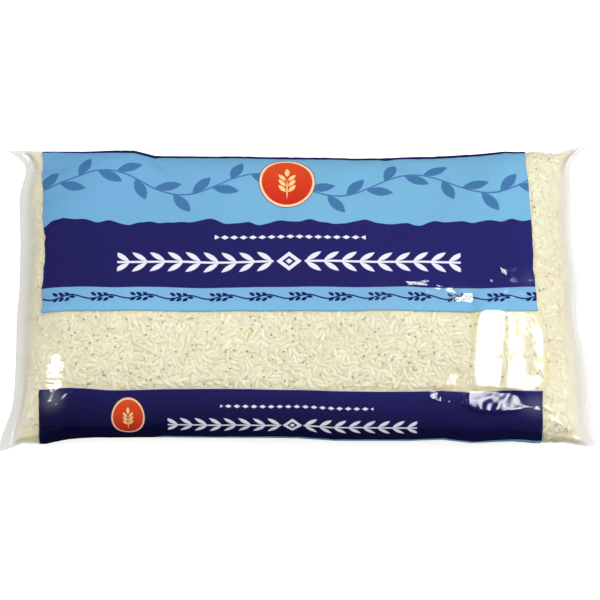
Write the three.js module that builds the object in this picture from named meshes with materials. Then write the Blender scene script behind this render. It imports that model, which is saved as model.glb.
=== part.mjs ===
// Bag of long-grain rice: a clear film pillow pack, filled tight, lying on its back.
// The film tube is one closed skin. It is oval where the rice fills it, and it is pressed flat
// and welded across both ends, where a thin fin with flared corners stands out from the rice.
// Millimetres. X runs along the bag, Y across it, Z up from the surface that it lies on.
import * as THREE from 'three';

// Length
const SEAL_TO_SEAL = 247;       // between the two welds, half way across the bag
const FIN_DEPTH = 3.8;          // film beyond each weld
const FIN_THICKNESS = 1;        // two films and the weld, with a little body
const SHOULDER = 35;            // how far from the weld the rice reaches its full height

// Cross-section in the middle of the bag
const HALF_WIDTH = 67;
const SEALED_HALF_WIDTH = 73.5; // the same film laid flat is wider than when it is filled
const WAIST = 2;                // the long edges draw in by this much in the middle
const EDGE_HEIGHT = 16;         // of the widest line above the surface
const CROWN = 26;               // from the widest line to the top
const BELLY = 18;               // from the widest line down, before the surface flattens it
const BELLY_SQUARENESS = 3.4;   // 2 is an ellipse, more is closer to a box
const CROWN_SQUARENESS = 2.15;

// Outline seen from above. At the ends it is a place across the bag, from -1 at the near edge to
// 1 at the far one, and how far the cut end stands out there. Along the edges it is a station and
// how far the edge is moved away from the viewer.
const END_OUTLINE = {
  left: [[-1, -7.8], [-0.9, -6], [-0.75, -1.6], [-0.4, -0.7], [-0.14, -1.4], [0.02, -0.6], [0.35, -0.6],
    [0.68, -3], [0.86, 0.4], [1, -5]],
  right: [[-1, 9.2], [-0.85, 4.8], [-0.67, 5.8], [-0.43, 4.8], [-0.24, 2.4], [-0.03, 0.3], [0.13, 1.4],
    [0.4, -0.8], [0.82, 0], [1, 7.5]],
};
const END_BLEND = 40;           // the outline eases in over this much of the length
const END_POWER = 3;
const FAR_EDGE = [[-127, 0.5], [-112, 2], [-76, 1.8], [-66, -0.4], [0, -0.5], [33, -1.2], [60, -1], [87, 0.5],
  [96, 1.4], [108, 0.2], [116, -1.4], [127, 0.5]];
const NEAR_EDGE = [[-127, 0.5], [-120, 3.4], [-112, 1.2], [-103, 1.6], [-85, 0.5], [-30, -0.4], [16, -1.9],
  [50, -1.7], [65, -1], [78, -2.3], [96, -1], [105, -1.2], [115, 0.4], [127, 0.5]];

// The welds wave up and down, and the film puckers where it comes into them
const WELD_HEIGHT = 13;
const WELD_WAVE = { height: 1.6, length: 74 };
const CORNER_LIFT = { left: -3, right: 1.5 }; // the ears droop at one end and rise at the other
const PUCKER = { depth: 0.9, pitch: 17, reach: 26 };

// How finely the skin is divided
const SIDES_HALF = 32;          // from one long edge over the top to the other
const BODY_STEPS = 46;
const SHOULDER_SHARE = 0.58;    // share of the steps that go to the two shoulders
const FIN_STEPS = 2;

// Long shallow swells of the rice under the film: height, wavelength along X and Y, and phase
const SWELLS = [
  { height: 0.7, along: 118, across: 96, phase: 0.6 },
  { height: 0.45, along: 61, across: -83, phase: 2.1 },
  { height: 0.3, along: -37, across: 49, phase: 4.0 },
];

// Creases pressed into the film: a line from one place to another seen from above
const CREASES = [
  { from: [47, 8.5], to: [80, -1], depth: 0.8, width: 2.2 },
  { from: [96, 9], to: [89, 22], depth: 0.6, width: 2.4 },
  { from: [112, -57], to: [82, -44], depth: 0.9, width: 2.6 },
  { from: [62, -46], to: [86, -52], depth: 0.8, width: 2.4 },
  { from: [-112, -32], to: [-104, -48], depth: 0.9, width: 3 },
  { from: [-108, -40], to: [-96, -60], depth: 0.6, width: 2.2 },
  { from: [-68, 64], to: [-58, 52], depth: 0.9, width: 2.6 },
  { from: [38, 64], to: [50, 54], depth: 0.8, width: 2.6 },
];

const SEAL = SEAL_TO_SEAL / 2;
const TIP = SEAL + FIN_DEPTH;

const clamp01 = (value) => Math.min(1, Math.max(0, value));
const ease = (value) => {
  const t = clamp01(value);
  return t * t * (3 - 2 * t);
};
const lookUp = (table, place) => {
  const next = table.findIndex(([at]) => at > place);
  if (next <= 0) {
    return next < 0 ? table.at(-1)[1] : table[0][1];
  }
  const [from, to] = [table[next - 1], table[next]];
  return THREE.MathUtils.mapLinear(place, from[0], to[0], from[1], to[1]);
};
const signedPower = (value, power) => Math.sign(value) * Math.abs(value) ** power;

// 1 where the bag is full, falling along a quarter ellipse to 0 at the weld.
function fullness(station) {
  const inward = clamp01((SEAL - Math.abs(station)) / SHOULDER);
  return Math.sqrt(1 - (1 - inward) ** 2.2);
}

// The crown falls a little from the middle of the bag towards its ends.
function crownHeight(station) {
  return CROWN * (1 - 0.07 * (station / SEAL) ** 2);
}

// The long edges draw in a little in the middle, and go out where the film is pressed flat.
function sectionHalfWidth(station, full) {
  const filled = HALF_WIDTH + WAIST * (station / SEAL) ** 2;
  return THREE.MathUtils.lerp(SEALED_HALF_WIDTH, filled, full ** 1.5);
}

// How much of the welds' height a station has: 0 in the body, 1 at the weld and beyond.
function endShare(station) {
  return ease((Math.abs(station) - (SEAL - END_BLEND)) / END_BLEND);
}

// Moves a station of the straight tube to where the real end lies, at a place across the bag.
function stationToX(station, across) {
  const outline = station < 0 ? END_OUTLINE.left : END_OUTLINE.right;
  const share = clamp01((Math.abs(station) - (TIP - END_BLEND)) / END_BLEND) ** END_POWER;
  return station + share * lookUp(outline, across);
}

// Height of the widest line. It follows the weld's waves at the ends.
function edgeHeight(station, y, across) {
  const side = station < 0 ? 'left' : 'right';
  const wave = WELD_WAVE.height * Math.sin((2 * Math.PI * y) / WELD_WAVE.length + Math.sign(station));
  const ear = CORNER_LIFT[side] * across ** 4;
  return THREE.MathUtils.lerp(EDGE_HEIGHT, WELD_HEIGHT + wave + ear, endShare(station));
}

// Distance from a point to a crease's line, seen from above.
function distanceToCrease(x, y, { from, to }) {
  const run = [to[0] - from[0], to[1] - from[1]];
  const along = clamp01(((x - from[0]) * run[0] + (y - from[1]) * run[1]) / (run[0] ** 2 + run[1] ** 2));
  return Math.hypot(x - from[0] - along * run[0], y - from[1] - along * run[1]);
}

// Swells, creases and puckers, as a height added to the top of the bag.
function relief(x, y, station, full) {
  let height = 0;
  for (const swell of SWELLS) {
    height += swell.height * Math.sin(2 * Math.PI * (x / swell.along + y / swell.across) + swell.phase);
  }
  for (const crease of CREASES) {
    height -= crease.depth * Math.exp(-((distanceToCrease(x, y, crease) / crease.width) ** 2));
  }
  const toWeld = SEAL - Math.abs(station);
  const pucker = ease(1 - toWeld / PUCKER.reach) * Math.cos((2 * Math.PI * y) / PUCKER.pitch + station / 9);
  return (height + PUCKER.depth * pucker) * full;
}

// One point of the skin. The angle goes round the section: 0 at the far long edge, a quarter
// turn at the top, a half turn at the near long edge, and the rest of the way underneath.
function skinPoint(station, angle) {
  const full = fullness(station);
  const top = Math.sin(angle) >= 0;
  const squareness = top ? CROWN_SQUARENESS : BELLY_SQUARENESS;
  const across = signedPower(Math.cos(angle), 2 / squareness);
  const rise = Math.abs(Math.sin(angle)) ** (2 / squareness);
  const halfWidth = sectionHalfWidth(station, full);
  const edgeShift = lookUp(across > 0 ? FAR_EDGE : NEAR_EDGE, station) * across ** 2;
  const y = halfWidth * across + edgeShift;
  const x = stationToX(station, across);
  const edge = edgeHeight(station, y, across);
  const film = FIN_THICKNESS / 2;
  if (top) {
    const height = Math.hypot(crownHeight(station) * full, film) * rise;
    return new THREE.Vector3(x, y, edge + height + relief(x, y, station, full) * rise);
  }
  const depth = Math.hypot(BELLY * full, film) * rise;
  return new THREE.Vector3(x, y, Math.max(0, edge - depth));
}

// Stations along the bag, close together in the shoulders and over the fins.
function stations() {
  const shoulderSteps = Math.round((BODY_STEPS * SHOULDER_SHARE) / 2);
  const middleSteps = BODY_STEPS - 2 * shoulderSteps;
  const list = [];
  for (let i = 0; i < FIN_STEPS; i++) {
    list.push(-TIP + (FIN_DEPTH * i) / FIN_STEPS);
  }
  for (let i = 0; i < shoulderSteps; i++) {
    const turn = (Math.PI / 2) * (i / shoulderSteps);
    list.push(-SEAL + SHOULDER * (1 - Math.cos(turn)));
  }
  const middle = SEAL - SHOULDER;
  for (let i = 0; i <= middleSteps; i++) {
    list.push(-middle + (2 * middle * i) / middleSteps);
  }
  const mirrored = list.slice(0, FIN_STEPS + shoulderSteps).map((station) => -station);
  return [...list, ...mirrored.reverse()];
}

// Angles round the section, the upper half and then the lower half, with as many steps in each.
function angles() {
  const list = [];
  for (let i = 0; i < 2 * SIDES_HALF; i++) {
    list.push((Math.PI * i) / SIDES_HALF);
  }
  return list;
}

// The skin as rings of points joined by quads, with both tips closed by a strip across the fin.
function bagGeometry() {
  const around = angles();
  const along = stations();
  const count = around.length;
  const positions = [];
  for (const station of along) {
    for (const angle of around) {
      positions.push(...skinPoint(station, angle).toArray());
    }
  }
  const faces = [];
  const quad = (a, b, c, d) => faces.push(a, b, c, a, c, d);
  for (let i = 0; i + 1 < along.length; i++) {
    for (let j = 0; j < count; j++) {
      const next = (j + 1) % count;
      quad(i * count + j, i * count + next, (i + 1) * count + next, (i + 1) * count + j);
    }
  }
  const last = (along.length - 1) * count;
  for (let j = 0; j < SIDES_HALF; j++) {
    const below = (count - j) % count;
    const nextBelow = count - j - 1;
    if (j > 0) {
      faces.push(below, j + 1, j, last + below, last + j, last + j + 1);
    }
    if (j + 1 < SIDES_HALF) {
      faces.push(below, nextBelow, j + 1, last + below, last + j + 1, last + nextBelow);
    }
  }
  const geometry = new THREE.BufferGeometry();
  geometry.setAttribute('position', new THREE.Float32BufferAttribute(positions, 3));
  geometry.setIndex(faces);
  geometry.computeVertexNormals();
  return geometry;
}

const film = new THREE.MeshStandardMaterial({ color: 0xe8e0c0, roughness: 0.3, metalness: 0 });

const bag = new THREE.Mesh(bagGeometry(), film);
bag.name = 'rice_bag';

const group = new THREE.Group();
group.add(bag);

export default group;
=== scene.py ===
"""Bag of long-grain rice: a clear film pillow pack with printed panels, lying on its back.

The bag is one flat film wrapped round the rice and welded across both ends. A place on the film
is a station, in millimetres along the bag, and a girth, in millimetres round it from the far
long edge over the top. Sizes are in millimetres and become metres when a mesh is written.
"""

import logging
import math
from collections.abc import Callable
from dataclasses import dataclass, field
from enum import Enum

import bpy
import numpy as np
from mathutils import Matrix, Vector


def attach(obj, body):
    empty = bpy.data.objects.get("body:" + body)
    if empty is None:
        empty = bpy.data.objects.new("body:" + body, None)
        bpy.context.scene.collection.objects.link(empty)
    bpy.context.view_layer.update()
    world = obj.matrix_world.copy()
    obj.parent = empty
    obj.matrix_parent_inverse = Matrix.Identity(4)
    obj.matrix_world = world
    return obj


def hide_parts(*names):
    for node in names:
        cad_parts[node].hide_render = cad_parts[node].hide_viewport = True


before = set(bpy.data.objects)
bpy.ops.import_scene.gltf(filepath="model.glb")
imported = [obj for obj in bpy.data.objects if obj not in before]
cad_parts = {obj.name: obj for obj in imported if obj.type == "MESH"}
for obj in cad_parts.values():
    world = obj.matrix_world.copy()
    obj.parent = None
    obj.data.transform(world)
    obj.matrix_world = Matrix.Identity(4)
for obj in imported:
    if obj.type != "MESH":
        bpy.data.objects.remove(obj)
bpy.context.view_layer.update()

log = logging.getLogger("rice_bag")

MM = 0.001
WELD = 0.02             # edges that meet within this many millimetres are joined
CHORD = 0.5             # how far apart the surface is read to measure it, in millimetres
TOLERANCE = 1e-6        # two places closer than this are the same
CRISP, FINE, SOFT, BROAD = 0.15, 0.2, 0.25, 0.3     # borders of the printed shapes, in millimetres
CAD_NODE = "rice_bag"
BODY = "root"
FILM_MAP = "film"       # UV map: station and girth on the flat film, in millimetres
TINT = "tint"           # point attribute of the grains, 0 dull to 1 bright, and more where chalky
# The haze attribute carries the film's milkiness, and milky patches that paint soft sheen.
HAZE = "haze"           # point attribute of the film, 0 clear to 1 milky

Array = np.ndarray
Socket = bpy.types.NodeSocket
Place = tuple[float, float, float]
Colour = tuple[float, float, float, float]
Curve = tuple[tuple[float, float], ...]


class Slot(Enum):
    """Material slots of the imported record."""

    FILM = "film"
    RICE = "rice"
    PRINT = "print"


def srgb(red: int, green: int, blue: int) -> Colour:
    """Turns an 8-bit sRGB colour into linear RGBA.

    Args:
        red, green, blue: the colour's parts, 0 to 255.

    Returns:
        The linear colour with full alpha.
    """
    shares = [part / 255 for part in (red, green, blue)]
    linear = [share / 12.92 if share <= 0.04045 else ((share + 0.055) / 1.055) ** 2.4 for share in shares]
    return (*linear, 1.0)


def ease(value: Array) -> Array:
    """Rises smoothly from 0 to 1 as value does, and stays level outside."""
    t = np.clip(value, 0, 1)
    return t * t * (3 - 2 * t)


def signed_power(value: Array, power: float) -> Array:
    """Raises the size of value to a power and keeps its sign."""
    return np.sign(value) * np.abs(value) ** power


def grid_normals(points: Array) -> Array:
    """Finds unit normals of a grid of points.

    Args:
        points: rows along the bag, columns round it, and three coordinates.

    Returns:
        Unit vectors that point out of the bag, in the same layout.
    """
    along = np.gradient(points, axis=0)
    around = np.gradient(points, axis=1)
    normal = np.cross(around, along)
    return normal / np.maximum(np.linalg.norm(normal, axis=-1, keepdims=True), 1e-9)


@dataclass(frozen=True)
class Viewpoint:
    """Where the photograph was taken from, in millimetres."""

    elevation: float = 70.0
    distance: float = 1164.0
    aim: Place = (0.9, -4.6, 20.0)

    @property
    def back(self) -> Array:
        """Direction from the bag to the camera."""
        rise = math.radians(self.elevation)
        return np.array((0.0, -math.cos(rise), math.sin(rise)))

    @property
    def eye(self) -> Array:
        """The camera's place."""
        return np.array(self.aim) + self.back * self.distance


class Glint(Enum):
    """Places of the two softboxes that flat parts of the film mirror, in millimetres."""

    KEY = (450.0, -80.0, 800.0)
    KEY_SIDE = (575.0, -20.0, 800.0)
    KEY_RIM = (610.0, -10.0, 800.0)
    LEFT = (-780.0, -100.0, 520.0)


@dataclass(frozen=True)
class Ripple:
    """Smooth seeded noise over the film in cells of one size, or sharp ridges where it is ridged."""

    seed: int
    along: float
    around: float
    height: float
    ridged: bool = False
    sharpness: int = 3
    table: int = 64

    def at(self, station: Array, girth: Array) -> Array:
        """Reads the noise.

        Args:
            station: places along the bag.
            girth: places round it.

        Returns:
            Heights between plus and minus the ripple's height.
        """
        heights = np.random.default_rng(self.seed).uniform(-1, 1, (self.table, self.table))
        u, v = station / self.along, girth / self.around
        column, row = np.floor(u).astype(int), np.floor(v).astype(int)
        fu, fv = ease(u - column), ease(v - row)

        def corner(du: int, dv: int) -> Array:
            """Height at one corner of each place's cell."""
            return heights[(column + du) % self.table, (row + dv) % self.table]

        near = corner(0, 0) * (1 - fu) + corner(1, 0) * fu
        far = corner(0, 1) * (1 - fu) + corner(1, 1) * fu
        value = near * (1 - fv) + far * fv
        if self.ridged:
            value = 1 - self.sharpness * np.abs(value)
        return self.height * value


@dataclass(frozen=True)
class Crease:
    """A crease pressed into the film between two places seen from above."""

    start: tuple[float, float]
    end: tuple[float, float]
    depth: float
    width: float
    tip: float = 0.02

    def at(self, x: Array, y: Array) -> Array:
        """Reads the crease.

        Args:
            x, y: places seen from above.

        Returns:
            Its depth there, least at its tips.
        """
        run = np.subtract(self.end, self.start)
        along = ((x - self.start[0]) * run[0] + (y - self.start[1]) * run[1]) / (run @ run)
        along = np.clip(along, 0, 1)
        away = np.hypot(x - self.start[0] - along * run[0], y - self.start[1] - along * run[1])
        taper = np.sqrt(np.sin(np.pi * np.clip(along, self.tip, 1 - self.tip)))
        return self.depth * taper * np.exp(-((away / self.width) ** 2))


@dataclass(frozen=True)
class BagForm:
    """Outer form of the filled bag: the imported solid's sizes, with thinner fins and finer ends."""

    seal_to_seal: float = 247.0
    fin_depth: float = 3.8
    fin_thickness: float = 0.6
    fin_taper: int = 4
    shoulder: float = 35.0
    shoulder_power: float = 2.2
    half_width: float = 67.0
    sealed_half_width: float = 73.5
    narrowing: float = 1.5
    waist: float = 2.0
    edge_height: float = 16.0
    crown: float = 26.0
    crown_fall: float = 0.07
    belly: float = 18.0
    belly_squareness: float = 3.4
    crown_squareness: float = 2.15
    end_blend: float = 40.0
    end_power: float = 3.0
    end_outlines: tuple[Curve, Curve] = (       # place across the bag, and the cut end's move along it
        ((-1.0, -7.8), (-0.9, -6.0), (-0.75, -1.6), (-0.62, -0.6), (-0.4, -0.7), (-0.14, -1.4), (0.02, -0.6),
         (0.35, -0.6), (0.68, -2.4), (0.86, 0.6), (0.93, -1.0), (1.0, -9.5)),
        ((-1.0, 9.2), (-0.85, 4.8), (-0.67, 5.8), (-0.43, 4.8), (-0.24, 2.6), (-0.03, 1.6), (0.13, 1.8),
         (0.4, -0.2), (0.65, 0.4), (0.82, 0.6), (0.92, 2.0), (1.0, 12.0)))
    far_edge: Curve = (         # station, and how far the edge is moved away from the viewer
        (-127, 0.5), (-112, 2.0), (-76, 1.8), (-66, -0.4), (-30, -0.4), (0, -0.5), (33, -1.2), (60, -1.0),
        (87, 0.5), (96, 1.4), (108, 0.2), (116, -1.4), (127, 0.5))
    near_edge: Curve = (
        (-127, 0.5), (-120, 3.4), (-112, 1.2), (-103, 1.6), (-85, 0.5), (-58, 0.1), (-30, -0.4), (0, -0.8),
        (16, -1.9), (50, -1.7), (65, -1.0), (78, -2.3), (96, -1.0), (105, -1.2), (115, 0.4), (124, 0.6),
        (128, 0.0))
    weld_height: float = 13.0
    weld_wave: float = 1.6
    weld_wave_length: float = 74.0
    corner_lift: tuple[float, float] = (-3.0, 1.5)
    ear_power: int = 4
    pucker_depth: float = 0.9
    pucker_pitch: float = 17.0
    pucker_reach: float = 26.0
    pucker_slant: float = 9.0
    outline_steps: int = 160
    outline_smoothing: int = 16
    drift: float = 5.0
    drift_start: float = 80.0
    drift_length: float = 40.0
    drift_power: float = 1.7
    drift_limit: float = 1.2
    swells: tuple[tuple[float, float, float, float], ...] = (   # height, wavelength each way, and phase
        (0.7, 118, 96, 0.6), (0.45, 61, -83, 2.1), (0.3, -37, 49, 4.0))

    @property
    def seal(self) -> float:
        """Station of each weld's inner line."""
        return self.seal_to_seal / 2

    @property
    def tip(self) -> float:
        """Station of the film's cut ends."""
        return self.seal + self.fin_depth

    def fullness(self, station: Array) -> Array:
        """1 where the bag is full, falling to 0 at the welds."""
        inward = np.clip((self.seal - np.abs(station)) / self.shoulder, 0, 1)
        return np.sqrt(np.maximum(1 - (1 - inward) ** self.shoulder_power, 0))

    def end_share(self, station: Array) -> Array:
        """How much of the welds' height a station has."""
        return ease((np.abs(station) - (self.seal - self.end_blend)) / self.end_blend)

    def end_shift(self, station: Array, across: Array) -> Array:
        """How far the ends' own outline moves a place along the bag.

        Args:
            station: places along the bag.
            across: places across it, -1 at the near edge to 1 at the far one.

        Returns:
            Shifts along the bag, most at the cut ends.
        """
        share = np.clip((np.abs(station) - (self.tip - self.end_blend)) / self.end_blend, 0, 1)
        shifts = []
        for outline in self.end_outlines:
            places, offsets = np.array(outline).T
            fine = np.linspace(-1, 1, self.outline_steps + 1)
            smooth = np.interp(fine, places, offsets)
            for _ in range(self.outline_smoothing):
                smooth[1:-1] = (smooth[:-2] + 2 * smooth[1:-1] + smooth[2:]) / 4
            shifts.append(np.interp(across, fine, smooth))
        return share ** self.end_power * self.by_end(station, shifts)

    def by_end(self, station: Array, pair: tuple[float, float] | list[Array]) -> Array:
        """The left or the right value of a pair, by the side of the bag."""
        return np.where(station < 0, pair[0], pair[1])

    def place(self, station: Array, angle: Array) -> Array:
        """Puts places of the skin in space.

        Args:
            station: places along the bag.
            angle: 0 at the far long edge, a quarter turn at the top, then round underneath.

        Returns:
            Points, with their three coordinates last.
        """
        full = self.fullness(station)
        top = np.sin(angle) >= 0
        square = np.where(top, self.crown_squareness, self.belly_squareness)
        across = signed_power(np.cos(angle), 2 / square)
        rise = np.abs(np.sin(angle)) ** (2 / square)
        filled = self.half_width + self.waist * (station / self.seal) ** 2
        half_width = self.sealed_half_width + (filled - self.sealed_half_width) * full ** self.narrowing
        far, near = (np.interp(station, *np.array(edge).T) for edge in (self.far_edge, self.near_edge))
        y = half_width * across + np.where(across > 0, far, near) * across ** 2
        share = self.end_share(station)
        x = station + self.end_shift(station, across)
        wave = self.weld_wave * np.sin(2 * np.pi * y / self.weld_wave_length + np.sign(station))
        weld = self.weld_height + wave + self.by_end(station, self.corner_lift) * across ** self.ear_power
        edge = self.edge_height + (weld - self.edge_height) * share
        beyond = np.clip((np.abs(station) - self.seal) / self.fin_depth, 0, 1)
        film = self.fin_thickness / 2 * (1 - beyond ** self.fin_taper)
        crown = np.hypot(self.crown * (1 - self.crown_fall * (station / self.seal) ** 2) * full, film)
        over = edge + crown * rise + self.relief(x, y, station, full) * rise
        under = np.maximum(edge - np.hypot(self.belly * full, film) * rise, 0)
        return np.stack([x, y, np.where(top, over, under)], axis=-1)

    def relief(self, x: Array, y: Array, station: Array, full: Array) -> Array:
        """Long swells of the rice, and puckers where the film comes into the welds.

        Args:
            x, y: places seen from above.
            station: places along the bag.
            full: how full the bag is there.

        Returns:
            Heights to add to the top of the bag.
        """
        height = np.zeros_like(x)
        for size, along, across, phase in self.swells:
            height += size * np.sin(2 * np.pi * (x / along + y / across) + phase)
        near_weld = ease(1 - (self.seal - np.abs(station)) / self.pucker_reach)
        pucker = near_weld * np.cos(2 * np.pi * y / self.pucker_pitch + station / self.pucker_slant)
        return (height + self.pucker_depth * pucker) * full

    def girth_table(self, steps: int = 6000) -> tuple[Array, Array]:
        """Tabulates the girth round the middle of the bag.

        Args:
            steps: how many chords the section is measured with.

        Returns:
            Angles, and the film's length from the far edge to each of them.
        """
        angles = np.linspace(0, 2 * np.pi, steps + 1)
        ring = self.place(np.zeros_like(angles), angles)
        chords = np.linalg.norm(np.diff(ring, axis=0), axis=1)
        return angles, np.concatenate([[0], np.cumsum(chords)])


@dataclass(frozen=True)
class Crumple:
    """A patch of film crumpled into small flat facets."""

    station: float
    girth: float
    reach: tuple[float, float]
    ripple: Ripple
    fade: float = 1.25

    def at(self, station: Array, girth: Array) -> Array:
        """Heights of the crumpled film, fading to nothing at the patch's rim."""
        away = np.hypot((station - self.station) / self.reach[0], (girth - self.girth) / self.reach[1])
        return self.ripple.at(station, girth) * ease(self.fade - away)


@dataclass(frozen=True)
class Facet:
    """A part of the film that is pulled flat between its folds, and so mirrors one direction."""

    station: float
    girth: float
    half_length: float
    half_width: float
    turn: float
    glint: Glint
    keep: float = 0.4
    rim: float = 0.4
    most: float = 1.7
    squareness: int = 4

    def share(self, station: Array, girth: Array) -> Array:
        """Finds how far places belong to the facet.

        Args:
            station: places along the bag.
            girth: places round it.

        Returns:
            1 on the facet, falling to 0 over its rim.
        """
        c, d = math.cos(math.radians(self.turn)), math.sin(math.radians(self.turn))
        s, t = station - self.station, girth - self.girth
        along = (s * c + t * d) / self.half_length
        aside = (t * c - s * d) / self.half_width
        away = (along ** self.squareness + aside ** self.squareness) ** (1 / self.squareness)
        return ease(1 + (1 - away) / self.rim)

    def mirror(self, place: Array) -> Array:
        """Direction that the film faces at a place where it shows the camera the facet's glint."""
        to_eye, to_lamp = (np.subtract(target, place) for target in (Viewpoint().eye, self.glint.value))
        return to_eye / np.linalg.norm(to_eye) + to_lamp / np.linalg.norm(to_lamp)

    def shape(self, film: "Film", station: Array, girth: Array, at: Array, height: Array,
              fine: Array) -> Array:
        """Flattens the film's relief where the facet is.

        Args:
            film: the film that it is in.
            station: places along the bag.
            girth: places round it.
            at: the same places in space, without relief.
            height: the relief so far.
            fine: the relief without any facet, of which a share stays on the facet.

        Returns:
            The relief with the facet in it.
        """
        here = np.array([self.station, self.station + CHORD, self.station])
        centre, along, around = film.bare(here, np.array([self.girth, self.girth, self.girth + CHORD]))
        out = np.cross(around - centre, along - centre)
        out /= np.linalg.norm(out)
        normal = self.mirror(centre)
        plane = ((centre - at) @ normal) / (out @ normal)
        plane = np.clip(plane, -self.most, self.most)
        return height + self.share(station, girth) * (plane + self.keep * fine - height)


@dataclass
class Film:
    """The bag's film as a surface: where each place of the flat film lies on the filled bag."""

    form: BagForm
    ripples: tuple[Ripple, ...]     # fine relief all over the top and the sides
    folds: tuple[Ripple, ...]       # folds that gather towards the welds
    creases: tuple[Crease, ...]
    crumples: tuple[Crumple, ...]
    facets: tuple[Facet, ...]
    fold_reach: float = 30.0
    loose_start: float = -0.35      # sine of the angle round the bag where the relief starts
    loose_length: float = 0.5
    slack: float = 1.6

    def __post_init__(self) -> None:
        """Measures the girth."""
        self.angles, self.lengths = self.form.girth_table()
        self.girth = float(self.lengths[-1])

    def angle(self, station: Array, girth: Array) -> Array:
        """Turns girths into angles; towards the ends the film is drawn to the far side.

        Args:
            station: places along the bag.
            girth: places round it.

        Returns:
            Angles as the form takes them.
        """
        form = self.form
        beyond = np.clip((np.abs(station) - form.drift_start) / form.drift_length, 0, form.drift_limit)
        shifted = np.mod(girth - form.drift * beyond ** form.drift_power, self.girth)
        return np.interp(shifted, self.lengths, self.angles)

    def bare(self, station: Array, girth: Array) -> Array:
        """Places of the film without its fine relief."""
        return self.form.place(station, self.angle(station, girth))

    def height(self, station: Array, girth: Array) -> Array:
        """Fine relief of the film, outwards, in millimetres.

        Args:
            station: places along the bag.
            girth: places round it.

        Returns:
            Heights over the bare form.
        """
        form = self.form
        girth = np.mod(girth, self.girth)
        angle = self.angle(station, girth)
        loose = ease((np.sin(angle) - self.loose_start) / self.loose_length)
        full = form.fullness(station)
        to_weld = form.seal - np.abs(station)
        height = sum(ripple.at(station, girth) for ripple in self.ripples)
        gather = ease(1 - to_weld / self.fold_reach)
        height = height + gather * sum(fold.at(station, girth) for fold in self.folds)
        at = self.bare(station, girth)
        for crease in self.creases:
            height = height - crease.at(at[..., 0], at[..., 1])
        for crumple in self.crumples:
            height = height + crumple.at(station, girth)
        fine = height = height * loose * ease(full * self.slack)
        for facet in self.facets:
            height = facet.shape(self, station, girth, at, height, fine)
        return height

    def places(self, station: Array, girth: Array) -> tuple[Array, Array]:
        """Lays a grid of the flat film on the bag.

        Args:
            station: a row of stations, each with all of its girths.
            girth: the girths, in the same layout.

        Returns:
            Points and unit normals in the same layout.
        """
        points = self.bare(station, girth)
        points = points + grid_normals(points) * self.height(station, girth)[..., None]
        points[..., 2] = np.maximum(points[..., 2], 0)
        return points, grid_normals(points)


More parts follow.
